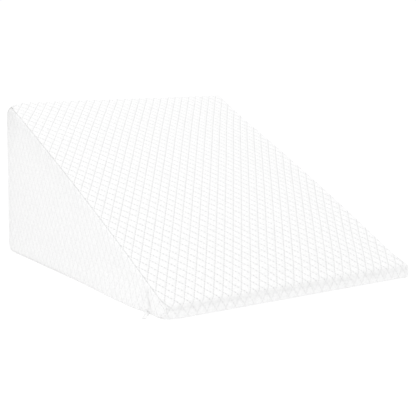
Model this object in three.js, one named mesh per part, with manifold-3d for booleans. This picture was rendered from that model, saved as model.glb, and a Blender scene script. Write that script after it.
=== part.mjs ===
import * as THREE from "three";
import { mergeVertices } from "three/addons/utils/BufferGeometryUtils.js";
import Module from "manifold-3d";

// A wedge leg pillow: a firm filled wedge in a sewn knitted cover, with a thin nose in front and a
// tall back behind. Millimetres. +X runs across it, +Y from the nose to the back and +Z up. It
// rests on z = 0, and the origin is the middle of the floor under its bounding box.

// Driving sizes of the wedge
const WIDTH = 508; // from sewn line to sewn line
const LENGTH = 616; // from the nose's face to the back's face, at the crest
const CREST_HEIGHT = 308.5; // where the slope's plane meets the back's plane
const NOSE_HEIGHT = 25.4;
const BACK_LEAN = 6; // how much farther back the foot of the back stands than its crest

// How far the filling pushes the cloth out of each plain face
const SLOPE_BOW = 8; // the slope's long edges, at mid length
const SLOPE_CROWN = 2.5; // the middle of the slope above its long edges
const SIDE_CROWN = 2.5;
const BACK_CROWN = 3;

// Rounding radii
const CREST_ROUND = 10;
const BACK_FOOT_ROUND = 20;
const NEAR_NOSE_CORNER_ROUND = 30; // the nose's corner at -X, seen from above
const FAR_NOSE_CORNER_ROUND = 6; // the nose's corner at +X
const EDGE_ROUND = 6; // along the sewn lines and along the nose

// The cloth of the far nose corner stands out to a soft point
const POINT_OUT = 7;
const POINT_UP = 1;
const POINT_REACH = 60;

// The filling doesn't reach quite into the near crest corner, so the cloth slumps there
const SLUMP = 14;
const SLUMP_ACROSS = 35; // how far from the side panel it reaches
const SLUMP_ALONG = 80; // how far from the back it reaches

// The sewn line round each side panel is drawn in by this much
const SEAM_DEPTH = 1.6;

// The mesh: segments between the rounded edges, and on each half of a rounded edge
const CELLS_ACROSS = 16;
const CELLS_ALONG = 22;
const CELLS_UP = 6;
const EDGE_CELLS = 3;

// The inner wedge, bowed like the slope, that every surface point is pushed out from, and the
// farthest that a point may lie from it
const CORE_INSET = 12;
const FARTHEST = 60;
const HALVINGS = 40;
const FLOOR_SNAP = 0.01;

// The zip's pull: where it hangs on the slider, where its tip lies, and its sizes
const PULL_ROOT = new THREE.Vector3(-255.8, -257.5, 4.6);
const PULL_TIP = new THREE.Vector3(-271.5, -275.5, 1.7);
const PULL_ROOT_WIDTH = 5;
const PULL_TIP_WIDTH = 7;
const PULL_THICKNESS = 1.6;
const PULL_ROUND = 2;
const PULL_BEVEL = 0.3;
const ROUND_STEPS = 4;
const SLIDER_LENGTH = 9;
const SLIDER_WIDTH = 4.4;
const SLIDER_HEIGHT = 5;
const SLIDER_ROUND = 1.5;
const SLIDER_FLOOR_GAP = 0.8;
const SLIDER_GAP = 0.7; // between the slider and the cloth

const COVER_COLOUR = 0xf3f3f2;
const PULL_COLOUR = 0xf0f0ee;

const slopeTilt = Math.atan2(CREST_HEIGHT - NOSE_HEIGHT, LENGTH);
const slopeNormal = new THREE.Vector3(0, -Math.sin(slopeTilt), Math.cos(slopeTilt));

function slopeHeight(y) {
  return NOSE_HEIGHT + (y + LENGTH / 2) * Math.tan(slopeTilt);
}

// 1 in the middle of a span from -1 to 1, and 0 at its ends and beyond them
function bow(place) {
  return Math.max(0, 1 - place * place);
}

// 1 where a gap is closed, falling softly to 0 at its reach
function nearness(gap, reach) {
  const share = Math.max(0, 1 - Math.max(0, gap) / reach);
  return share * share;
}

// Joins two faces with a rounded edge. Faces and result are distances, negative inside.
function roundedMeet(first, second, radius) {
  const overFirst = Math.max(first + radius, 0);
  const overSecond = Math.max(second + radius, 0);
  return Math.min(-radius, Math.max(first, second)) + Math.hypot(overFirst, overSecond);
}

// Distance of a point from the cloth, negative inside the cushion
function distanceToCloth(point) {
  const alongBow = bow((2 * point.y) / LENGTH);
  const acrossBow = bow((2 * point.x) / WIDTH);
  const rise = point.z / slopeHeight(point.y);
  const sideBulge = alongBow * bow(2 * rise - 1);
  const backBulge = acrossBow * bow((2 * point.z) / CREST_HEIGHT - 1);
  const towardPoint = nearness(Math.hypot(Math.min(0, point.x - WIDTH / 2), point.y + LENGTH / 2), POINT_REACH);
  const slump = SLUMP * nearness(point.x + WIDTH / 2, SLUMP_ACROSS) * nearness(LENGTH / 2 - point.y, SLUMP_ALONG);

  const slope = (point.y + LENGTH / 2) * slopeNormal.y + (point.z - NOSE_HEIGHT) * slopeNormal.z
    - alongBow * (SLOPE_BOW + SLOPE_CROWN * acrossBow) - POINT_UP * towardPoint + slump;
  const lean = BACK_LEAN * (1 - point.z / CREST_HEIGHT);
  const back = point.y - LENGTH / 2 - lean - BACK_CROWN * backBulge;
  const nose = -LENGTH / 2 - point.y;
  const side = Math.abs(point.x) - WIDTH / 2 - SIDE_CROWN * sideBulge - POINT_OUT * towardPoint;

  const backAndBase = roundedMeet(back, -point.z, BACK_FOOT_ROUND);
  const profile = roundedMeet(backAndBase, slope, CREST_ROUND);
  const cornerRound = point.x < 0 ? NEAR_NOSE_CORNER_ROUND : FAR_NOSE_CORNER_ROUND;
  const plan = roundedMeet(nose, side, cornerRound);
  return roundedMeet(profile, plan, EDGE_ROUND);
}

// Splits a grid step into how far it leans over the edge (-1 to 1) and its place on the face (0 to 1)
function edgeAndPlace(step, steps) {
  const eighth = Math.PI / 4;
  if (step < EDGE_CELLS) {
    return { edge: -Math.tan(eighth * (1 - step / EDGE_CELLS)), place: 0 };
  }
  if (step > steps - EDGE_CELLS) {
    return { edge: Math.tan(eighth * (1 - (steps - step) / EDGE_CELLS)), place: 1 };
  }
  const even = (step - EDGE_CELLS) / (steps - 2 * EDGE_CELLS);
  return { edge: 0, place: (1 - Math.cos(Math.PI * even)) / 2 };
}

// Walks from a point of the inner wedge along a direction until it meets the cloth
function reachCloth(start, direction) {
  let near = 0;
  let far = FARTHEST;
  const point = new THREE.Vector3();
  for (let i = 0; i < HALVINGS; i += 1) {
    const middle = (near + far) / 2;
    point.copy(start).addScaledVector(direction, middle);
    if (distanceToCloth(point) < 0) near = middle;
    else far = middle;
  }
  return near;
}

// A box grid is drawn onto the cloth: its faces become the panels, its edges the sewn lines
function wedgeGeometry() {
  const steps = [CELLS_ACROSS, CELLS_ALONG, CELLS_UP].map((cells) => cells + 2 * EDGE_CELLS);
  const box = new THREE.BoxGeometry(2, 2, 2, ...steps);
  box.deleteAttribute("normal");
  box.deleteAttribute("uv");
  const geometry = mergeVertices(box);
  const grid = geometry.getAttribute("position");
  const start = new THREE.Vector3();
  const direction = new THREE.Vector3();
  for (let n = 0; n < grid.count; n += 1) {
    const [x, y, z] = ["X", "Y", "Z"].map((axis, k) => {
      const step = Math.round(((grid[`get${axis}`](n) + 1) / 2) * steps[k]);
      return { ...edgeAndPlace(step, steps[k]), end: step === 0 || step === steps[k] };
    });
    start.x = (x.place - 0.5) * (WIDTH - 2 * CORE_INSET);
    start.y = (y.place - 0.5) * (LENGTH - 2 * CORE_INSET);
    const raised = SLOPE_BOW * bow((2 * start.y) / LENGTH);
    const highest = slopeHeight(start.y) + (raised - CORE_INSET) / Math.cos(slopeTilt);
    start.z = CORE_INSET + z.place * (highest - CORE_INSET);
    direction.set(x.edge, y.edge, 0);
    if (z.edge > 0) direction.addScaledVector(slopeNormal, z.edge);
    else direction.z += z.edge;
    direction.normalize();
    const onSewnLine = x.end && (y.end || z.end);
    const reach = reachCloth(start, direction) - (onSewnLine ? SEAM_DEPTH : 0);
    start.addScaledVector(direction, reach);
    if (start.z < FLOOR_SNAP) start.z = 0;
    grid.setXYZ(n, start.x, start.y, start.z);
  }
  geometry.computeVertexNormals();
  return geometry;
}

// A tapered bar seen from above, with rounded corners
function roundedOutline(halfLength, halfStartWidth, halfEndWidth, radius) {
  const outline = new THREE.Shape();
  const corners = [
    [-halfLength, -halfStartWidth],
    [halfLength, -halfEndWidth],
    [halfLength, halfEndWidth],
    [-halfLength, halfStartWidth],
  ].map(([x, y]) => new THREE.Vector2(x, y));
  corners.forEach((corner, k) => {
    const before = corners[(k + 3) % 4].clone().sub(corner).setLength(radius).add(corner);
    const after = corners[(k + 1) % 4].clone().sub(corner).setLength(radius).add(corner);
    if (k === 0) outline.moveTo(before.x, before.y);
    else outline.lineTo(before.x, before.y);
    outline.quadraticCurveTo(corner.x, corner.y, after.x, after.y);
  });
  outline.closePath();
  return outline;
}

// A plate with bevelled rims, its middle plane on z = 0
function plateGeometry(outline, thickness) {
  const geometry = new THREE.ExtrudeGeometry(outline, {
    depth: thickness - 2 * PULL_BEVEL,
    bevelThickness: PULL_BEVEL,
    bevelSize: PULL_BEVEL,
    bevelOffset: -PULL_BEVEL,
    bevelSegments: 1,
    curveSegments: ROUND_STEPS,
  });
  return geometry.translate(0, 0, PULL_BEVEL - thickness / 2);
}

// The pull: a flat tapered tab from the slider down to the floor in front of the corner
function tabGeometry() {
  const reach = PULL_TIP.clone().sub(PULL_ROOT);
  const outline = roundedOutline(reach.length() / 2, PULL_ROOT_WIDTH / 2, PULL_TIP_WIDTH / 2, PULL_ROUND);
  const geometry = plateGeometry(outline, PULL_THICKNESS);
  const forward = reach.clone().normalize();
  const across = new THREE.Vector3(0, 0, 1).cross(forward).normalize();
  const up = forward.clone().cross(across);
  geometry.applyMatrix4(new THREE.Matrix4().makeBasis(forward, across, up));
  const middle = PULL_ROOT.clone().add(PULL_TIP).multiplyScalar(0.5);
  return geometry.translate(middle.x, middle.y, middle.z);
}

// The slider: a small rounded block beside the sewn line, under the tab's root
function sliderGeometry() {
  const outline = roundedOutline(SLIDER_LENGTH / 2, SLIDER_WIDTH / 2, SLIDER_WIDTH / 2, SLIDER_ROUND);
  const geometry = plateGeometry(outline, SLIDER_HEIGHT);
  geometry.rotateZ(Math.PI / 2);
  const x = -WIDTH / 2 - SLIDER_GAP - SLIDER_WIDTH / 2;
  return geometry.translate(x, PULL_ROOT.y, SLIDER_FLOOR_GAP + SLIDER_HEIGHT / 2);
}

// Joins closed geometries into one solid
async function joined(geometries) {
  const library = await Module();
  library.setup();
  const solids = geometries.map((source) => {
    source.deleteAttribute("normal");
    source.deleteAttribute("uv");
    const welded = mergeVertices(source);
    return new library.Manifold(new library.Mesh({
      numProp: 3,
      vertProperties: Float32Array.from(welded.getAttribute("position").array),
      triVerts: Uint32Array.from(welded.getIndex().array),
    }));
  });
  const mesh = solids.reduce((sum, solid) => sum.add(solid)).getMesh();
  const geometry = new THREE.BufferGeometry();
  geometry.setAttribute("position", new THREE.BufferAttribute(mesh.vertProperties, 3));
  geometry.setIndex(new THREE.BufferAttribute(mesh.triVerts, 1));
  geometry.computeVertexNormals();
  return geometry;
}

function namedMesh(name, geometry, colour, roughness) {
  const material = new THREE.MeshStandardMaterial({ color: colour, roughness, metalness: 0 });
  const mesh = new THREE.Mesh(geometry, material);
  mesh.name = name;
  return mesh;
}

const pillow = new THREE.Group();
pillow.add(namedMesh("wedge_cushion", wedgeGeometry(), COVER_COLOUR, 0.9));
pillow.add(namedMesh("zip_pull", await joined([tabGeometry(), sliderGeometry()]), PULL_COLOUR, 0.4));

// The origin moves to the middle of the floor under the whole pillow
const middle = new THREE.Box3().setFromObject(pillow).getCenter(new THREE.Vector3());
pillow.position.set(-middle.x, -middle.y, 0);

export default pillow;
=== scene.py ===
import math

import bmesh
import bpy
import numpy as np
from mathutils import Matrix, Vector
from mathutils.bvhtree import BVHTree


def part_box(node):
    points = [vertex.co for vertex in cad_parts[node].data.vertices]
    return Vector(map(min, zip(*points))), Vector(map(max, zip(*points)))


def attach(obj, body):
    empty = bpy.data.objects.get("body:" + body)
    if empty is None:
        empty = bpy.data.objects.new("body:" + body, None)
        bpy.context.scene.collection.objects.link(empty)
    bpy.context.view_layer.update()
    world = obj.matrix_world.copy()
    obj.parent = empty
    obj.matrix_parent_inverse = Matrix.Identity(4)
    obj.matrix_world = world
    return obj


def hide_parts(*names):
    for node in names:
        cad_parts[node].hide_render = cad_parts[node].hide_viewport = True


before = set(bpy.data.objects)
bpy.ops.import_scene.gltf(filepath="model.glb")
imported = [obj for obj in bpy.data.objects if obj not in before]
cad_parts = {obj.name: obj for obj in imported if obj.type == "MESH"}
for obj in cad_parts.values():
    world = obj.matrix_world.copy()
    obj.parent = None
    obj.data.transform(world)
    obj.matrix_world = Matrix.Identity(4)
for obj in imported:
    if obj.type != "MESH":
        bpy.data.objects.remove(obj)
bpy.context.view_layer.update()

# The filled wedge: a firm foam wedge whose faces are pushed out a little by the filling. Everything
# is worked out in the wedge's own frame: x across it, y from the nose to the back, z up from the
# floor, with the origin below the middle of the long faces. Metres.
WIDTH = 0.508
LENGTH = 0.616
CREST_HEIGHT = 0.3085
NOSE_HEIGHT = 0.0254
BACK_LEAN = 0.006
SLOPE_BOW = 0.008
SLOPE_CROWN = 0.0025
SIDE_CROWN = 0.0025
BACK_CROWN = 0.003
CREST_ROUND = 0.010
BACK_FOOT_ROUND = 0.020
NEAR_NOSE_CORNER_ROUND = 0.030
FAR_NOSE_CORNER_ROUND = 0.006
EDGE_ROUND = 0.006
POINT_OUT = 0.009
POINT_UP = -0.001
POINT_REACH = 0.060
SLUMP = 0.018
SLUMP_ACROSS = 0.035
SLUMP_ALONG = 0.080
CORE_INSET = 0.012
FARTHEST_CLOTH = 0.06
HALVINGS = 26

cushion_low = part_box("wedge_cushion")[0]
wedge_origin = np.array([cushion_low.x + WIDTH / 2 + SIDE_CROWN, cushion_low.y + LENGTH / 2, 0.0])
slope_tilt = math.atan2(CREST_HEIGHT - NOSE_HEIGHT, LENGTH)
slope_length = math.hypot(CREST_HEIGHT - NOSE_HEIGHT, LENGTH)
slope_normal = np.array([0.0, -math.sin(slope_tilt), math.cos(slope_tilt)])
slope_along = np.array([0.0, math.cos(slope_tilt), math.sin(slope_tilt)])
nose_top = np.array([0.0, -LENGTH / 2, NOSE_HEIGHT])


def bow(place):
    """One in the middle and nothing at -1 and 1, as cloth stands out between two held edges."""
    return np.maximum(0.0, 1.0 - place * place)


def nearness(gap, reach):
    """One where the gap is nothing, falling off to nothing at the reach."""
    return np.maximum(0.0, 1.0 - np.maximum(0.0, gap) / reach) ** 2


def rounded_meet(first, second, radius):
    """Joins two faces' distances, with a round of the given radius where the faces meet."""
    over = np.hypot(np.maximum(first + radius, 0.0), np.maximum(second + radius, 0.0))
    return np.minimum(-radius, np.maximum(first, second)) + over


def distance_to_cloth(points):
    """How far points lie outside the cloth, as the solid in CAD has it. Negative inside."""
    x, y, z = points.T
    along_bow = bow(2.0 * y / LENGTH)
    across_bow = bow(2.0 * x / WIDTH)
    rise = z / (NOSE_HEIGHT + (y + LENGTH / 2) * math.tan(slope_tilt))
    side_bulge = along_bow * bow(2.0 * rise - 1.0)
    back_bulge = across_bow * bow(2.0 * z / CREST_HEIGHT - 1.0)
    toward_point = nearness(np.hypot(np.minimum(0.0, x - WIDTH / 2), y + LENGTH / 2), POINT_REACH)
    slump = SLUMP * nearness(x + WIDTH / 2, SLUMP_ACROSS) * nearness(LENGTH / 2 - y, SLUMP_ALONG)
    slope = (points - nose_top) @ slope_normal - along_bow * (SLOPE_BOW + SLOPE_CROWN * across_bow)
    slope = slope - POINT_UP * toward_point + slump
    back = y - LENGTH / 2 - BACK_LEAN * (1.0 - z / CREST_HEIGHT) - BACK_CROWN * back_bulge
    nose = -LENGTH / 2 - y
    side = np.abs(x) - WIDTH / 2 - SIDE_CROWN * side_bulge - POINT_OUT * toward_point
    corner_round = np.where(x < 0.0, NEAR_NOSE_CORNER_ROUND, FAR_NOSE_CORNER_ROUND)
    profile = rounded_meet(rounded_meet(back, -z, BACK_FOOT_ROUND), slope, CREST_ROUND)
    return rounded_meet(profile, rounded_meet(nose, side, corner_round), EDGE_ROUND)


# The inner wedge lies CORE_INSET inside every plain face. Its profile, seen from the side.
inner_low = nose_top[1] + CORE_INSET
inner_high = LENGTH / 2 - CORE_INSET
inner_drop = CORE_INSET / math.cos(slope_tilt)
inner_profile = np.array([
    (inner_low, CORE_INSET),
    (inner_high, CORE_INSET),
    (inner_high, NOSE_HEIGHT + (inner_high + LENGTH / 2) * math.tan(slope_tilt) - inner_drop),
    (inner_low, NOSE_HEIGHT + CORE_INSET * math.tan(slope_tilt) - inner_drop),
])


def nearest_inner_point(points):
    flat = points[:, 1:]
    nearest = flat.copy()
    best = np.full(len(flat), np.inf)
    inside = np.ones(len(flat), bool)
    for start, end in zip(inner_profile, np.roll(inner_profile, -1, axis=0)):
        run = end - start
        place = np.clip((flat - start) @ run / (run @ run), 0.0, 1.0)
        foot = start + place[:, None] * run
        gap = np.linalg.norm(flat - foot, axis=1)
        closer = gap < best
        best[closer] = gap[closer]
        nearest[closer] = foot[closer]
        inside &= (flat - start) @ np.array([-run[1], run[0]]) >= 0.0
    nearest[inside] = flat[inside]
    half = WIDTH / 2 - CORE_INSET
    return np.column_stack([np.clip(points[:, 0], -half, half), nearest])


def bowed(points):
    """Lifts points of the plain wedge as the slope's bow lifts the cloth, most at the slope."""
    x, y, z = points.T
    rise = z / (NOSE_HEIGHT + (y + LENGTH / 2) * math.tan(slope_tilt))
    return np.column_stack([x, y, z + rise * SLOPE_BOW * bow(2.0 * y / LENGTH) / math.cos(slope_tilt)])


def reach_cloth(start, direction):
    """How far each start lies from the cloth, along its direction."""
    near, far = np.zeros(len(start)), np.full(len(start), FARTHEST_CLOTH)
    for _ in range(HALVINGS):
        middle = (near + far) / 2
        within = distance_to_cloth(start + direction * middle[:, None]) < 0.0
        near = np.where(within, middle, near)
        far = np.where(within, far, middle)
    return near


def outward(points):
    step = 1e-5
    axes = np.eye(3) * step
    slope = [distance_to_cloth(points + a) - distance_to_cloth(points - a) for a in axes]
    normal = np.column_stack(slope)
    return normal / np.linalg.norm(normal, axis=1)[:, None]


# The filling pushes the cloth out between the sewn lines. It starts a little smaller, swells under
# pressure with its sewn edges and its base held, and no point may move farther than the cap.
SWELL_VOXEL = 0.006
SWELL_SHRINK = 0.003
SWELL_CAP = 0.006
SWELL_PRESSURE = 4.0
SWELL_FRAMES = 20
HELD_RIM = 0.012
SAME_POINT = 0.00001
TOUCHING = 0.000001


def sewn_distance(points):
    """How far a point of the plain wedge lies from the nearest sewn line, along its own face."""
    x, y, z = points.T
    from_side = WIDTH / 2 - np.abs(x)
    from_slope = -(points - nose_top) @ slope_normal
    from_wrap = np.minimum.reduce([from_slope, z, LENGTH / 2 - y, y + LENGTH / 2])
    return np.where(from_side > TOUCHING, from_side, from_wrap)


def vertex_array(mesh):
    flat = np.empty(len(mesh.vertices) * 3)
    mesh.vertices.foreach_get("co", flat)
    return flat.reshape(-1, 3)


def swollen_filling():
    """Swells a copy of the solid and returns a tree that rays can be cast at."""
    filling = bpy.data.objects.new("swollen_filling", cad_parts["wedge_cushion"].data.copy())
    bpy.context.scene.collection.objects.link(filling)
    shape = bmesh.new()
    shape.from_mesh(filling.data)
    bmesh.ops.remove_doubles(shape, verts=shape.verts, dist=SAME_POINT)
    shape.normal_update()
    for vert in shape.verts:
        vert.co -= vert.normal * SWELL_SHRINK
    shape.to_mesh(filling.data)
    shape.free()

    remesh = filling.modifiers.new("even_faces", "REMESH")
    remesh.mode = "VOXEL"
    remesh.voxel_size = SWELL_VOXEL
    even = bpy.data.meshes.new_from_object(
        filling.evaluated_get(bpy.context.evaluated_depsgraph_get()))
    filling.modifiers.clear()
    filling.data = even

    start = vertex_array(even)
    place = start - wedge_origin
    low = place[:, 2] < 2 * SWELL_SHRINK
    beside = WIDTH / 2 - SWELL_SHRINK - np.abs(place[:, 0]) < HELD_RIM
    around = distance_to_cloth(place * [0.0, 1.0, 1.0]) > -HELD_RIM - SWELL_SHRINK
    held = filling.vertex_groups.new(name="held")
    held.add([int(n) for n in np.flatnonzero(low | (beside & around))], 1.0, "REPLACE")

    cloth = filling.modifiers.new("pressed_out", "CLOTH")
    cloth.settings.use_pressure = True
    cloth.settings.uniform_pressure_force = SWELL_PRESSURE
    cloth.settings.vertex_group_mass = "held"
    cloth.settings.effector_weights.gravity = 0.0
    cloth.point_cache.frame_end = SWELL_FRAMES
    scene = bpy.context.scene
    for step in range(1, SWELL_FRAMES + 1):
        scene.frame_set(step)
    pressed = bpy.data.meshes.new_from_object(
        filling.evaluated_get(bpy.context.evaluated_depsgraph_get()))
    moved = vertex_array(pressed) - start
    scene.frame_set(1)
    filling.modifiers.clear()
    length = np.linalg.norm(moved, axis=1)
    moved *= (np.minimum(length, SWELL_CAP) / np.maximum(length, 1e-9))[:, None]
    even.vertices.foreach_set("co", (start + moved).ravel())
    even.update()
    smoother = filling.modifiers.new("finer_faces", "SUBSURF")
    smoother.levels = smoother.render_levels = 1
    finer = filling.evaluated_get(bpy.context.evaluated_depsgraph_get())
    tree = BVHTree.FromObject(finer, bpy.context.evaluated_depsgraph_get())
    bpy.data.objects.remove(filling)
    return tree


def reach_filling(tree, start, direction, otherwise):
    """How far each start lies from the swollen filling, along its direction."""
    reach = otherwise.copy()
    for n, (point, way) in enumerate(zip(start + wedge_origin, direction)):
        hit, _, _, distance = tree.ray_cast(Vector(point), Vector(way), FARTHEST_CLOTH)
        if hit is not None:
            reach[n] = distance
    return reach


# The cover: a white double knit with a lattice of sunk stitches. One long panel wraps over the slope,
# down the nose, under the base and up the back, and a side panel closes each side. They are cut flat,
# so each starts as a flat sheet whose mesh follows the lattice, trimmed to its panel's outline.
DIAMOND_WIDTH = 0.01794
DIAMOND_LENGTH = 0.02797
WRAP_START = (0.235, 0.57)
SIDE_START = (0.54, 0.663)
SIDE_LEAN = math.radians(2.4)
FINE_STEPS = (0.0, 0.1, 0.333, 0.5, 0.667, 0.9)
PLAIN_STEPS = (0.0, 0.11, 0.37, 0.63, 0.89)
BACK_STEPS = (0.0, 0.13, 0.5, 0.87)
COARSE_STEPS = (0.0, 0.5)
SEAM_ROWS = (0.0008, 0.0022, 0.0045)
NEAR_SEAM = 0.010
SAME_STITCH = 0.00004
CUT_SNAP = 0.0000001


def lattice_place(flat, lean, start):
    """Lattice lines crossed on the way to a point of the flat cloth, for both families of lines."""
    turn = np.array([[math.cos(lean), -math.sin(lean)], [math.sin(lean), math.cos(lean)]])
    across, along = (flat @ turn).T
    first = across / DIAMOND_WIDTH - along / DIAMOND_LENGTH + start[0]
    second = across / DIAMOND_WIDTH + along / DIAMOND_LENGTH + start[1]
    return np.column_stack([first, second])


def lattice_sheet(corners, lean, start, steps):
    """A flat mesh that follows the lattice, large enough to cut the outline from."""
    corners = np.array(corners)
    reach = lattice_place(corners, lean, start)
    low = np.floor(reach.min(axis=0)) - 1
    cells = (np.ceil(reach.max(axis=0)) + 1 - low).astype(int)
    sheet = bmesh.new()
    counts = [int(n) * len(steps) for n in cells]
    bmesh.ops.create_grid(sheet, x_segments=counts[0], y_segments=counts[1], size=1.0)
    back = Matrix.Rotation(lean, 3, "Z")
    for vert in sheet.verts:
        place = []
        for k in range(2):
            step = round((vert.co[k] + 1.0) / 2.0 * counts[k])
            place.append(low[k] + step // len(steps) + steps[step % len(steps)] - start[k])
        vert.co = back @ Vector((
            (place[0] + place[1]) / 2 * DIAMOND_WIDTH,
            (place[1] - place[0]) / 2 * DIAMOND_LENGTH,
            0.0,
        ))
    return sheet


def trim(sheet, corners, sewn):
    """Cuts the sheet to its outline and adds rows of stitches along the sewn rims."""
    for k, here in enumerate(corners):
        there = corners[(k + 1) % len(corners)]
        run = (Vector((*there, 0.0)) - Vector((*here, 0.0))).normalized()
        out = Vector((run.y, -run.x, 0.0))
        geometry = sheet.verts[:] + sheet.edges[:] + sheet.faces[:]
        bmesh.ops.bisect_plane(sheet, geom=geometry, dist=CUT_SNAP, plane_co=(*here, 0.0),
                               plane_no=out, clear_outer=True)
    for k in sewn:
        here, there = corners[k], corners[(k + 1) % len(corners)]
        run = (Vector((*there, 0.0)) - Vector((*here, 0.0))).normalized()
        out = Vector((run.y, -run.x, 0.0))
        for row in SEAM_ROWS:
            rim = Vector((*here, 0.0)) - out * row
            faces = [f for f in sheet.faces if (f.calc_center_median() - rim).dot(out) > -NEAR_SEAM]
            edges = dict.fromkeys(e for f in faces for e in f.edges)
            verts = dict.fromkeys(v for f in faces for v in f.verts)
            bmesh.ops.bisect_plane(sheet, geom=[*verts, *edges, *faces], dist=CUT_SNAP,
                                   plane_co=rim, plane_no=out)


def add_panel(cover, corners, sewn, frame_of, lean, start, steps):
    """Cuts a panel, writes its lattice into the UV map, and lays it on its face of the wedge."""
    sheet = lattice_sheet(corners, lean, start, steps)
    trim(sheet, corners, sewn)
    panel = bpy.data.meshes.new("panel")
    sheet.to_mesh(panel)
    sheet.free()
    flat = vertex_array(panel)[:, :2]
    place = lattice_place(flat, lean, start)
    vertex_of_loop = np.empty(len(panel.loops), int)
    panel.loops.foreach_get("vertex_index", vertex_of_loop)
    panel.uv_layers.new(name="lattice").uv.foreach_set("vector", place[vertex_of_loop].ravel())
    origin, across, along = (Vector(v) for v in frame_of)
    panel.transform(Matrix((
        (across.x, along.x, 0.0, origin.x),
        (across.y, along.y, 0.0, origin.y),
        (across.z, along.z, 1.0, origin.z),
        (0.0, 0.0, 0.0, 1.0),
    )))
    cover.from_mesh(panel)
    bpy.data.meshes.remove(panel)


def rectangle(low, high):
    half = WIDTH / 2
    return [(-half, low), (half, low), (half, high), (-half, high)]


cover = bmesh.new()
x_axis = (1.0, 0.0, 0.0)
# One strip of cloth wraps over the slope, nose, base and back. It is measured along its length from
# the nose's top edge, so that its lattice runs on from face to face.
add_panel(cover, rectangle(0.0, slope_length), (1, 3), (nose_top, x_axis, slope_along),
          0.0, WRAP_START, FINE_STEPS)
add_panel(cover, rectangle(-NOSE_HEIGHT, 0.0), (1, 3), (nose_top, x_axis, (0.0, 0.0, 1.0)),
          0.0, WRAP_START, FINE_STEPS)
base_end = -NOSE_HEIGHT - LENGTH
add_panel(cover, rectangle(base_end, -NOSE_HEIGHT), (1, 3),
          ((0.0, -LENGTH / 2 - NOSE_HEIGHT, 0.0), x_axis, (0.0, -1.0, 0.0)),
          0.0, WRAP_START, COARSE_STEPS)
add_panel(cover, rectangle(slope_length, slope_length + CREST_HEIGHT), (1, 3),
          ((0.0, LENGTH / 2, CREST_HEIGHT + slope_length), x_axis, (0.0, 0.0, -1.0)),
          0.0, WRAP_START, BACK_STEPS)
side_outline = [
    (-LENGTH / 2, 0.0),
    (LENGTH / 2, 0.0),
    (LENGTH / 2, CREST_HEIGHT),
    (-LENGTH / 2, NOSE_HEIGHT),
]
for side in (-1.0, 1.0):
    add_panel(cover, side_outline, (0, 1, 2, 3),
              ((side * WIDTH / 2, 0.0, 0.0), (0.0, 1.0, 0.0), (0.0, 0.0, 1.0)),
              SIDE_LEAN, SIDE_START, PLAIN_STEPS)


def share_stitches(cover):
    """Gives both rims of every edge of the wedge the same points, and joins them."""
    half = WIDTH / 2
    profile = [np.array(p) for p in side_outline]
    lines = [((-half, *p), (half, *p)) for p in profile]
    for p, q in zip(profile, profile[1:] + profile[:1]):
        lines += [((x, *p), (x, *q)) for x in (-half, half)]
    for start, end in lines:
        start, end = Vector(start), Vector(end)
        way = (end - start).normalized()
        length = (end - start).length
        rim = [e for e in cover.edges if len(e.link_faces) == 1
               and max((v.co - start).cross(way).length for v in e.verts) < TOUCHING]
        rim_verts = list(dict.fromkeys(v for e in rim for v in e.verts))
        stitches = [0.0]
        for place in sorted((v.co - start).dot(way) for v in rim_verts):
            if place - stitches[-1] > SAME_STITCH and length - place > SAME_STITCH:
                stitches.append(place)
        stitches = np.array(stitches + [length])
        for vert in rim_verts:
            place = (vert.co - start).dot(way)
            vert.co = start + way * stitches[np.argmin(np.abs(stitches - place))]
        for edge in rim:
            first, last = sorted(edge.verts, key=lambda v: (v.co - start).dot(way))
            low, high = (first.co - start).dot(way), (last.co - start).dot(way)
            for place in stitches[(stitches > low + TOUCHING) & (stitches < high - TOUCHING)]:
                _, first = bmesh.utils.edge_split(edge, first, (place - low) / (high - low))
                low = place
    rims = [v for v in cover.verts if any(len(e.link_faces) == 1 for e in v.link_edges)]
    bmesh.ops.remove_doubles(cover, verts=rims, dist=2 * TOUCHING)


share_stitches(cover)
assert all(len(e.link_faces) == 2 for e in cover.edges), "the cover has an open seam"
bmesh.ops.recalc_face_normals(cover, faces=cover.faces)

cushion_mesh = bpy.data.meshes.new("knit_cushion")
cover.to_mesh(cushion_mesh)
cover.free()
cushion = bpy.data.objects.new("knit_cushion", cushion_mesh)
bpy.context.scene.collection.objects.link(cushion)

# The cloth is laid over the filling: puffed up inside each diamond, sunk along the lattice, deepest
# at its stitches, drawn in at the sewn lines, and pressed flat under the base. A line's width is a
# share of a diamond's side, and each reach or width says how far a dip or a fade spreads.
PUFF = 0.0012
PUFF_SOFTNESS = 0.7
STITCHES_A_SIDE = 3.0
LINE_WIDTH = 0.06
SUNK_LINE = 0.0002
SUNK_STITCH = 0.0005
SIDE_RELIEF = 0.5
RELIEF_FADE = (0.001, 0.006)
SEAM_DEPTH = 0.0019
SEAM_REACH = 0.0016
# At the nose's round corners the seam eases out of sight, and it is shallower where the base starts
NOSE_CORNER = (-0.27, -0.30)
NOSE_SEAM_TOP = NOSE_HEIGHT + 0.004
NOSE_SEAM_EASE = 0.75
BASE_SEAM_TOP = 0.012
BASE_SEAM_SHARE = 0.6
BASE_PRESS = 0.008
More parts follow.
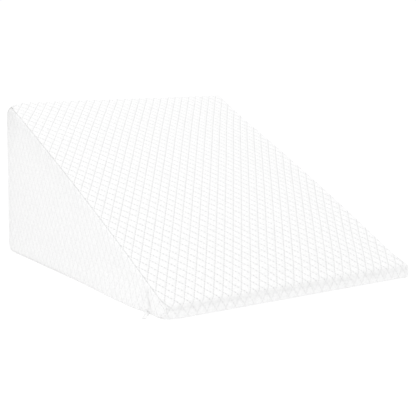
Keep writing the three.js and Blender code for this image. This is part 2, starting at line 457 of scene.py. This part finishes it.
# The crease rises from the zip's end in the near side, and the cloth is dented at that end
CREASE = ((-0.257, 0.0375), (-0.2605, 0.022), (-0.2634, 0.0133))
CREASE_DEPTH = 0.0014
CREASE_WIDTH = 0.0028
ZIP_END = (-0.254, -0.2575, 0.004)
ZIP_DENT = 0.0009
ZIP_DENT_REACH = 0.010
FOLD_DROP = 0.0065
FOLD_DEPTH = 0.0012
FOLD_WIDTH = 0.0042
CREST_FILL = 0.0065
CREST_FILL_EDGE = 0.02
CREST_FILL_ALONG = 0.13
CREST_FILL_ACROSS = 0.30
CREST_SAG = 0.0022
CREST_SAG_ALONG = 0.08
CREST_SAG_ACROSS = 0.40
FOOT_SPREAD = 0.005
LEAN_START = 0.1
FOOT_STRETCH = (-0.245, -0.205, -0.15, 0.0)
FOOT_ACROSS = 0.05
FOOT_HEIGHT = 0.06
FREE_SWELL = 0.05
BASE_HOLD = 0.03


def smooth_step(low, high, value):
    """Nothing at low, one at high, and an even ease between them."""
    t = np.clip((value - low) / (high - low), 0.0, 1.0)
    return t * t * (3.0 - 2.0 * t)


def lattice_relief(place):
    """How far the cloth stands out at a place of the lattice: puffed diamonds between sunk lines."""
    first, second = np.abs(place - np.round(place)).T
    puff = PUFF * (np.sin(np.pi * first) * np.sin(np.pi * second)) ** PUFF_SOFTNESS
    stitches = STITCHES_A_SIDE * place
    stitch_of_second, stitch_of_first = (1.0 - 2.0 * np.abs(stitches - np.round(stitches))).T
    sunk_first = np.exp(-(first / LINE_WIDTH) ** 2) * (SUNK_LINE + SUNK_STITCH * stitch_of_first ** 2)
    sunk_second = np.exp(-(second / LINE_WIDTH) ** 2) * (SUNK_LINE + SUNK_STITCH * stitch_of_second ** 2)
    return puff - np.maximum(sunk_first, sunk_second)


def crease_nearness(points):
    """One along the crease of the near side, falling off over its width."""
    nearest = np.full(len(points), np.inf)
    for start, end in zip(CREASE, CREASE[1:]):
        start, run = np.array(start), np.array(end) - np.array(start)
        place = np.clip((points[:, 1:] - start) @ run / (run @ run), 0.0, 1.0)
        foot = start + place[:, None] * run
        nearest = np.minimum(nearest, np.linalg.norm(points[:, 1:] - foot, axis=1))
    return np.exp(-(nearest / CREASE_WIDTH) ** 2) * (points[:, 0] < TOUCHING - WIDTH / 2)


def fold_nearness(points):
    """The cloth is pressed in a little just below the fold along the nose."""
    drop = NOSE_HEIGHT - points[:, 2]
    return np.exp(-((drop - FOLD_DROP) / FOLD_WIDTH) ** 2) * (points[:, 1] < TOUCHING - LENGTH / 2)


plain = vertex_array(cushion_mesh)
uv = np.empty(len(cushion_mesh.loops) * 2)
cushion_mesh.uv_layers["lattice"].uv.foreach_get("vector", uv)
vertex_of_loop = np.empty(len(cushion_mesh.loops), int)
cushion_mesh.loops.foreach_get("vertex_index", vertex_of_loop)
place = np.zeros((len(plain), 2))
place[vertex_of_loop] = uv.reshape(-1, 2)


def fullness(points):
    """The filling stands fuller just below the far half of the crest, and sags at the near half."""
    from_back = LENGTH / 2 - points[:, 1]
    near_crest = smooth_step(0.0, CREST_FILL_EDGE, from_back) * nearness(from_back, CREST_FILL_ALONG)
    sag = CREST_SAG * nearness(from_back, CREST_SAG_ALONG)
    sag = sag * nearness(points[:, 0] + WIDTH / 2, CREST_SAG_ACROSS)
    return CREST_FILL * near_crest * nearness(WIDTH / 2 - points[:, 0], CREST_FILL_ACROSS) - sag


def spread_foot(points):
    """The back leans out at its foot and in at its crest, and the near side's foot stands out."""
    lean = 1.0 - 2.0 * np.clip(points[:, 2] / CREST_HEIGHT, 0.0, 1.0)
    points[:, 1] += FOOT_SPREAD * lean * smooth_step(LEAN_START, LENGTH / 2, points[:, 1])
    starts = smooth_step(FOOT_STRETCH[0], FOOT_STRETCH[1], points[:, 1])
    ends = smooth_step(FOOT_STRETCH[2], FOOT_STRETCH[3], points[:, 1])
    stretch = starts * (1.0 - ends)
    at_side = nearness(points[:, 0] + WIDTH / 2, FOOT_ACROSS) * nearness(points[:, 2], FOOT_HEIGHT)
    points[:, 0] -= FOOT_SPREAD * stretch * at_side


def lay_on_cloth(points):
    """The inner wedge's nearest point, the way out from it, and how far off the cloth is."""
    core = bowed(nearest_inner_point(points))
    direction = bowed(points) - core
    direction /= np.linalg.norm(direction, axis=1)[:, None]
    return core, direction, reach_cloth(core, direction)


core, direction, reach = lay_on_cloth(plain)
from_seam = sewn_distance(plain)
from_fold = np.minimum.reduce([np.hypot(plain[:, 1] - y, plain[:, 2] - z) for y, z in side_outline])
swollen = reach_filling(swollen_filling(), core, direction, reach)
free = smooth_step(HELD_RIM, FREE_SWELL, np.minimum(from_seam, from_fold))
free = free * smooth_step(0.0, BASE_HOLD, plain[:, 2])
reach += (swollen - reach) * free
laid = core + direction * reach[:, None]
normal = outward(laid)
base_weight = smooth_step(0.0, BASE_PRESS, laid[:, 2])
crease, fold = crease_nearness(plain), fold_nearness(plain)
on_side = np.abs(plain[:, 0]) > WIDTH / 2 - TOUCHING
on_slope = np.abs((plain - nose_top) @ slope_normal) < SAME_POINT
relief = lattice_relief(place) * smooth_step(*RELIEF_FADE, from_seam) * base_weight
relief *= np.where(on_side, SIDE_RELIEF, 1.0)
round_nose = smooth_step(*NOSE_CORNER, plain[:, 1]) * (plain[:, 2] < NOSE_SEAM_TOP)
seam_share = (1.0 - NOSE_SEAM_EASE * round_nose) * np.where(plain[:, 2] < BASE_SEAM_TOP, BASE_SEAM_SHARE, 1.0)
relief -= seam_share * SEAM_DEPTH * np.exp(-from_seam / SEAM_REACH)
from_zip = np.linalg.norm(plain - ZIP_END, axis=1)
zip_dent = ZIP_DENT * np.exp(-(from_zip / ZIP_DENT_REACH) ** 2)
relief -= CREASE_DEPTH * crease + FOLD_DEPTH * fold + zip_dent
relief += fullness(plain) * on_slope
laid += normal * relief[:, None]
spread_foot(laid)
laid[:, 2] = np.maximum(laid[:, 2], 0.0)
cushion_mesh.vertices.foreach_set("co", (laid + wedge_origin).ravel())
cushion_mesh.update()
cushion_mesh.shade_smooth()

# What the material reads from the cloth: how dark the two families of stitches are painted on each
# panel, and the painted shade that stands for the shadow the seams, the crease and the tightly drawn edges
# hold.
SIDE_STITCH = (0.9, 0.35)
WRAP_STITCH = (0.5, 0.5)
NOSE_STITCH = (0.35, 0.35)
SEAM_SHADOW = 0.28
SEAM_SHADOW_WIDTH = 0.0013
BASE_STITCH = 0.0045
BASE_STITCH_WIDTH = 0.0018
BASE_SHADOW = 0.33
BASE_SHADOW_RUN = (-0.08, 0.14)
CREASE_SHADOW = 0.25
FOLD_SHADOW = 0.145
ZIP_SHADOW = 0.20
ZIP_SHADOW_REACH = 0.004
SIDE_SHADOW = 0.02
BACK_SHADOW = 0.10
BACK_SHADOW_REACH = 0.030
SLOPE_SHADOW = 0.10
SLOPE_SHADOW_REACH = 0.018
SLOPE_SHADOW_RUN = (0.10, 0.22)
CORNER_SHADOW = 1.1
CORNER_SHADOW_REACH = 0.022

on_nose = plain[:, 1] < TOUCHING - LENGTH / 2
stitch_shades = [
    np.select([on_slope, on_side, on_nose], [1.0, SIDE_STITCH[k], NOSE_STITCH[k]], WRAP_STITCH[k])
    for k in range(2)
]
from_back = LENGTH / 2 - plain[:, 1]
from_crest = np.hypot(from_back, CREST_HEIGHT - plain[:, 2])
along_base = on_side * (plain[:, 2] < BASE_SEAM_TOP) * smooth_step(*BASE_SHADOW_RUN, plain[:, 1])
seam_shadow = SEAM_SHADOW * seam_share * np.exp(-(from_seam / SEAM_SHADOW_WIDTH) ** 2)
base_shadow = BASE_SHADOW * along_base
base_shadow = base_shadow * np.exp(-((plain[:, 2] - BASE_STITCH) / BASE_STITCH_WIDTH) ** 2)
zip_shadow = ZIP_SHADOW * np.exp(-(from_zip / ZIP_SHADOW_REACH) ** 2)
# Painted shade in the seams, the base seam, the crease, the fold below the nose and at the zip's end
held_shadow = np.maximum.reduce([
    seam_shadow, base_shadow, CREASE_SHADOW * crease, FOLD_SHADOW * fold, zip_shadow,
])
below_slope = -(plain - nose_top) @ slope_normal
below_crest = SLOPE_SHADOW * np.exp(-below_slope / SLOPE_SHADOW_REACH)
below_crest = below_crest * smooth_step(*SLOPE_SHADOW_RUN, plain[:, 2])
near_corner = CORNER_SHADOW * np.exp(-from_crest / CORNER_SHADOW_REACH)
near_back = BACK_SHADOW * np.exp(-from_back / BACK_SHADOW_REACH)
# More painted shade on the side panels: a little all over, and more near the back edge, the crest corner and
# just below the slope's edge
held_shadow += on_side * (SIDE_SHADOW + near_back + near_corner + below_crest)
for name, values in (
    ("first_stitch_shade", stitch_shades[0]),
    ("second_stitch_shade", stitch_shades[1]),
    ("held_shadow", held_shadow),
):
    cushion_mesh.attributes.new(name, "FLOAT", "POINT").data.foreach_set("value", values)


def from_hex(colour):
    """An sRGB hex colour as linear RGBA."""
    channels = [int(colour[k:k + 2], 16) / 255 for k in (1, 3, 5)]
    return [c / 12.92 if c <= 0.04045 else ((c + 0.055) / 1.055) ** 2.4 for c in channels] + [1.0]


def add_node(tree, kind, inputs=None, **settings):
    """Adds a node with its settings. Inputs are values, or the sockets that feed them."""
    node = tree.nodes.new(kind)
    for name, value in settings.items():
        setattr(node, name, value)
    for name, source in (inputs or {}).items():
        if isinstance(source, bpy.types.NodeSocket):
            tree.links.new(source, node.inputs[name])
        else:
            node.inputs[name].default_value = source
    return node


# White polyester and viscose double knit. It looks matt and soft, with a faint bloom at its edges,
# and the sunk stitches of the lattice are painted a little darker, as painted shade for the shadow they
# hold. The noises are scaled per metre: painted shade in patches of about 22 mm, mottle of 3 mm, and fuzz of
# 1.1 mm.
LOOPS_A_SIDE = 14.0
PATCHES = 45.0
MOTTLE = 320.0
FUZZ = 900.0
knit = bpy.data.materials.new("white_double_knit")
knit.use_nodes = True
tree = knit.node_tree
tree.nodes.clear()
lattice = add_node(tree, "ShaderNodeUVMap", uv_map="lattice").outputs["UV"]
lines = add_node(tree, "ShaderNodeSeparateXYZ", {"Vector": lattice})
masks = []
for here, there, core_width, full_width, between, stitch_shade_name in (
    ("X", "Y", 0.015, 0.042, 0.6, "first_stitch_shade"),
    ("Y", "X", 0.035, 0.09, 0.2, "second_stitch_shade"),
):
    gap = add_node(tree, "ShaderNodeMath", {0: lines.outputs[here], 1: 0.5}, operation="PINGPONG").outputs[0]
    line = add_node(tree, "ShaderNodeMapRange", {
        "Value": gap, "From Min": core_width, "From Max": full_width, "To Min": 1.0, "To Max": 0.0,
    }, interpolation_type="SMOOTHSTEP").outputs[0]
    crossed = lines.outputs[there]
    stitch = add_node(tree, "ShaderNodeMath", {
        0: crossed, 1: STITCHES_A_SIDE,
    }, operation="MULTIPLY").outputs[0]
    step = add_node(tree, "ShaderNodeMath", {0: stitch, 1: 0.5}, operation="PINGPONG").outputs[0]
    dash = add_node(tree, "ShaderNodeMapRange", {
        "Value": step, "From Min": 0.14, "From Max": 0.34, "To Min": 1.0, "To Max": between,
    }, interpolation_type="SMOOTHSTEP").outputs[0]
    dashes = add_node(tree, "ShaderNodeMath", {0: line, 1: dash}, operation="MULTIPLY").outputs[0]
    # How dark this family of stitches is painted on each panel, as painted shade
    depth = add_node(tree, "ShaderNodeAttribute", attribute_name=stitch_shade_name).outputs["Fac"]
    masks.append(add_node(tree, "ShaderNodeMath", {0: dashes, 1: depth}, operation="MULTIPLY").outputs[0])
sunk = add_node(tree, "ShaderNodeMath", {0: masks[0], 1: masks[1]}, operation="MAXIMUM").outputs[0]
# The painted shade, broken into uneven patches
shadow = add_node(tree, "ShaderNodeAttribute", attribute_name="held_shadow").outputs["Fac"]
body = add_node(tree, "ShaderNodeTexCoord").outputs["Object"]
uneven = add_node(tree, "ShaderNodeTexNoise", {
    "Vector": body, "Scale": PATCHES, "Detail": 2.0,
}).outputs["Fac"]
uneven = add_node(tree, "ShaderNodeMapRange", {
    "Value": uneven, "From Min": 0.35, "From Max": 0.65, "To Min": 0.4, "To Max": 1.0,
}).outputs[0]
shadow = add_node(tree, "ShaderNodeMath", {0: shadow, 1: uneven}, operation="MULTIPLY").outputs[0]
# Loops of the knit: fourteen to a diamond's side of 16.6 mm, so about 1.2 mm each. Between them the
# cloth holds a little shadow.
loops = add_node(tree, "ShaderNodeVectorMath", {
    0: lattice, 1: (LOOPS_A_SIDE, LOOPS_A_SIDE, 0.0),
}, operation="MULTIPLY")
cells = add_node(tree, "ShaderNodeTexVoronoi", {"Vector": loops.outputs[0], "Scale": 1.0}).outputs["Distance"]
mottle = add_node(tree, "ShaderNodeTexNoise", {"Vector": body, "Scale": MOTTLE, "Detail": 1.0}).outputs["Fac"]
mottle = add_node(tree, "ShaderNodeMapRange", {
    "Value": mottle, "From Min": 0.40, "From Max": 0.66, "To Min": 0.0, "To Max": 1.0,
}).outputs[0]
open_cloth = add_node(tree, "ShaderNodeMix", {
    "Factor": mottle, 6: from_hex("#fcfcfc"), 7: from_hex("#f6f6f6"),
}, data_type="RGBA").outputs[2]
# Painted shade: the sunk stitches are painted darker than the open cloth
stitched = add_node(tree, "ShaderNodeMix", {
    "Factor": sunk, 6: open_cloth, 7: from_hex("#e0e0e0"),
}, data_type="RGBA").outputs[2]
# Painted shade mixed into the colour
colour = add_node(tree, "ShaderNodeMix", {
    "Factor": shadow, 6: stitched, 7: from_hex("#b4b4b4"),
}, data_type="RGBA")
fuzz = add_node(tree, "ShaderNodeTexNoise", {"Vector": body, "Scale": FUZZ, "Detail": 3.0}).outputs["Fac"]
height = add_node(tree, "ShaderNodeMath", {0: cells, 1: -0.6, 2: fuzz}, operation="MULTIPLY_ADD").outputs[0]
bump = add_node(tree, "ShaderNodeBump", {"Strength": 0.5, "Distance": 0.0003, "Height": height}).outputs[0]
shader = add_node(tree, "ShaderNodeBsdfPrincipled", {
    "Base Color": colour.outputs[2],
    "Roughness": 0.9,
    "Specular IOR Level": 0.2,
    "Sheen Weight": 0.15,
    "Sheen Roughness": 0.6,
    "Normal": bump,
})
add_node(tree, "ShaderNodeOutputMaterial", {"Surface": shader.outputs[0]})
cushion_mesh.materials.append(knit)

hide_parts("wedge_cushion")
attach(cushion, "root")

# The zip's slider and pull: small white moulded pieces, the pull a flat tapered tab with a raised
# rim, its root held in the slider's bridge and its tip hanging just clear of the floor.
PULL_ROOT = Vector((-0.2558, -0.2575, 0.0046))
PULL_TIP = Vector((-0.2715, -0.2755, 0.0017))
PULL_ROOT_WIDTH = 0.005
PULL_TIP_WIDTH = 0.007
PULL_THICKNESS = 0.0016
CORNER_ROUND = 0.0012
SOFT_EDGE = 0.0002
RIM_WIDTH = 0.0009
RIM_DEPTH = 0.0004
SLIDER_SIZE = Vector((0.0044, 0.009, 0.005))
SLIDER_FLOOR_GAP = 0.0008
SLIDER_GAP = 0.0007
SHARP_TURN = math.radians(40)
FACES_UP = 0.3


def add_block(size, taper, place, rimmed):
    """Adds a block with rounded corners, its +X end as wide as the taper says."""
    block = bmesh.new()
    bmesh.ops.create_cube(block, size=1.0)
    for vert in block.verts:
        width = taper if vert.co.x > 0 else size.y
        vert.co = Vector((vert.co.x * size.x, vert.co.y * width, vert.co.z * size.z))
    upright = [e for e in block.edges if abs(e.verts[0].co.z - e.verts[1].co.z) > 0.5 * size.z]
    bmesh.ops.bevel(block, geom=upright, offset=CORNER_ROUND, segments=5, profile=0.5, affect="EDGES",
                    material=-1)
    block.normal_update()
    rims = [e for e in block.edges if max(abs(f.normal.z) for f in e.link_faces) > 0.9
            and min(abs(f.normal.z) for f in e.link_faces) < 0.1]
    bmesh.ops.bevel(block, geom=rims, offset=SOFT_EDGE, segments=2, profile=0.5, affect="EDGES", material=-1)
    block.normal_update()
    if rimmed:
        top = max((f for f in block.faces if f.normal.z > 0.9), key=lambda f: f.calc_area())
        bmesh.ops.inset_region(block, faces=[top], thickness=RIM_WIDTH, depth=0.0)
        bmesh.ops.inset_region(block, faces=[top], thickness=SOFT_EDGE, depth=-RIM_DEPTH)
    bmesh.ops.transform(block, matrix=place, verts=block.verts)
    block_mesh = bpy.data.meshes.new("block")
    block.to_mesh(block_mesh)
    block.free()
    pull_shape.from_mesh(block_mesh)
    bpy.data.meshes.remove(block_mesh)


pull_shape = bmesh.new()
# The tab lies on a line from the slider out to its tip
reach_out = PULL_TIP - PULL_ROOT
forward = reach_out.normalized()
across = Vector((0.0, 0.0, 1.0)).cross(forward).normalized()
tab_turn = Matrix((forward, across, forward.cross(across))).transposed().to_4x4()
tab_size = Vector((reach_out.length, PULL_ROOT_WIDTH, PULL_THICKNESS))
add_block(tab_size, PULL_TIP_WIDTH, Matrix.Translation((PULL_ROOT + PULL_TIP) / 2) @ tab_turn, True)
slider_place = Vector((
    -WIDTH / 2 - SLIDER_GAP - SLIDER_SIZE.x / 2,
    PULL_ROOT.y,
    SLIDER_FLOOR_GAP + SLIDER_SIZE.z / 2,
))
add_block(SLIDER_SIZE, SLIDER_SIZE.y, Matrix.Translation(slider_place), False)
bmesh.ops.recalc_face_normals(pull_shape, faces=pull_shape.faces)
bmesh.ops.translate(pull_shape, vec=Vector(wedge_origin), verts=pull_shape.verts)
for face in pull_shape.faces:
    face.smooth = True
for edge in pull_shape.edges:
    edge.smooth = edge.calc_face_angle(0.0) < SHARP_TURN
# Painted shade: the walls and underside, which face away from the light, are marked to be painted darker
shade = pull_shape.verts.layers.float.new("held_shadow")
for vert in pull_shape.verts:
    vert[shade] = 1.0 if max(f.normal.z for f in vert.link_faces) < FACES_UP else 0.0
pull_mesh = bpy.data.meshes.new("moulded_zip_pull")
pull_shape.to_mesh(pull_mesh)
pull_shape.free()
pull = bpy.data.objects.new("moulded_zip_pull", pull_mesh)
bpy.context.scene.collection.objects.link(pull)

# White moulded nylon, smooth with a soft shine and barely cloudy. Its walls are painted a little darker
# than its top, as painted shade for the cushion's shadow they stand in. The grain is 0.25 mm and the clouds
# are 3 mm.
MOULD_GRAIN = 4000.0
CLOUDS = 300.0
moulded = bpy.data.materials.new("white_moulded_nylon")
moulded.use_nodes = True
tree = moulded.node_tree
tree.nodes.clear()
body = add_node(tree, "ShaderNodeTexCoord").outputs["Object"]
grain = add_node(tree, "ShaderNodeTexNoise", {"Vector": body, "Scale": MOULD_GRAIN}).outputs["Fac"]
cloudy = add_node(tree, "ShaderNodeTexNoise", {"Vector": body, "Scale": CLOUDS}).outputs["Fac"]
clean = add_node(tree, "ShaderNodeMix", {
    "Factor": cloudy, 6: from_hex("#ffffff"), 7: from_hex("#f4f4f4"),
}, data_type="RGBA").outputs[2]
shadow = add_node(tree, "ShaderNodeAttribute", attribute_name="held_shadow").outputs["Fac"]
# Painted shade on the walls and underside
colour = add_node(tree, "ShaderNodeMix", {
    "Factor": shadow, 6: clean, 7: from_hex("#e8e8e8"),
}, data_type="RGBA")
bump = add_node(tree, "ShaderNodeBump", {"Strength": 0.2, "Distance": 0.00002, "Height": grain}).outputs[0]
shader = add_node(tree, "ShaderNodeBsdfPrincipled", {
    "Base Color": colour.outputs[2],
    "Roughness": 0.38,
    "Normal": bump,
})
add_node(tree, "ShaderNodeOutputMaterial", {"Surface": shader.outputs[0]})
pull_mesh.materials.append(moulded)

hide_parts("zip_pull")
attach(pull, "root")

# The studio: a floor of white acrylic sheet lit from below, so it looks shadowless and as white as the
# wall behind. It only carries the cushion for the picture.
FLOOR_RADIUS = 30.0
floor_mesh = bpy.data.meshes.new("studio_floor")
floor_shape = bmesh.new()
bmesh.ops.create_circle(floor_shape, cap_ends=True, segments=96, radius=FLOOR_RADIUS)
floor_shape.to_mesh(floor_mesh)
floor_shape.free()
floor = bpy.data.objects.new("studio_floor", floor_mesh)
bpy.context.scene.collection.objects.link(floor)
table = bpy.data.materials.new("lit_white_acrylic")
table.use_nodes = True
table.node_tree.nodes.clear()
seen = add_node(table.node_tree, "ShaderNodeLightPath").outputs["Is Camera Ray"]
glow = add_node(table.node_tree, "ShaderNodeMapRange", {"Value": seen, "To Min": 0.66, "To Max": 0.78})
shader = add_node(table.node_tree, "ShaderNodeBsdfPrincipled", {
    "Base Color": (0.3, 0.3, 0.3, 1.0),
    "Roughness": 1.0,
    "Specular IOR Level": 0.0,
    "Emission Color": (1.0, 1.0, 1.0, 1.0),
    "Emission Strength": glow.outputs[0],
})
add_node(table.node_tree, "ShaderNodeOutputMaterial", {"Surface": shader.outputs[0]})
floor_mesh.materials.append(table)

world = bpy.data.worlds.new("studio")
bpy.context.scene.world = world
world.use_nodes = True
world.node_tree.nodes.clear()
seen = add_node(world.node_tree, "ShaderNodeLightPath").outputs["Is Camera Ray"]
strength = add_node(world.node_tree, "ShaderNodeMapRange", {"Value": seen, "To Min": 0.96, "To Max": 1.05})
background = add_node(world.node_tree, "ShaderNodeBackground", {
    "Color": (1.0, 1.0, 1.0, 1.0),
    "Strength": strength.outputs[0],
})
add_node(world.node_tree, "ShaderNodeOutputWorld", {"Surface": background.outputs[0]})
bpy.context.scene.view_settings.view_transform = "Standard"

# Three soft lamps: name, size, watts, where it stands and what it faces
for name, size, watts, stand, aim in (
    ("overhead_softbox", 2.0, 6.2, (-0.6, 0.5, 2.4), (0.0, 0.0, 0.1)),
    ("front_softbox", 1.2, 2.0, (-0.6, -2.6, 1.0), (0.0, -0.2, 0.1)),
    ("side_softbox", 0.3, 0.20, (-0.9, -0.42, 0.12), (-0.25, -0.1, 0.08)),
):
    lamp_data = bpy.data.lights.new(name, "AREA")
    lamp_data.shape = "DISK"
    lamp_data.size = size
    lamp_data.energy = watts
    lamp = bpy.data.objects.new(name, lamp_data)
    lamp.location = stand
    lamp.rotation_euler = (Vector(aim) - lamp.location).to_track_quat("-Z", "Y").to_euler()
    lamp.visible_camera = False
    bpy.context.scene.collection.objects.link(lamp)

# The camera stands where the wedge's outline fits the photograph's best
CAMERA_STAND = Vector((-0.9535, -1.4783, 0.4011))
CAMERA_TURN = math.radians(-33.61)
CAMERA_HEIGHT = math.radians(9.4)
camera_data = bpy.data.cameras.new("photo_camera")
camera_data.lens = 80.82
camera_data.sensor_width = 36.0
camera_data.clip_end = 100.0
camera = bpy.data.objects.new("photo_camera", camera_data)
bpy.context.scene.collection.objects.link(camera)
back_way = Vector((
    math.sin(CAMERA_TURN) * math.cos(CAMERA_HEIGHT),
    -math.cos(CAMERA_TURN) * math.cos(CAMERA_HEIGHT),
    math.sin(CAMERA_HEIGHT),
))
camera.location = Vector(wedge_origin) + CAMERA_STAND
camera.rotation_mode = "QUATERNION"
camera.rotation_quaternion = back_way.to_track_quat("Z", "Y")
bpy.context.scene.camera = camera
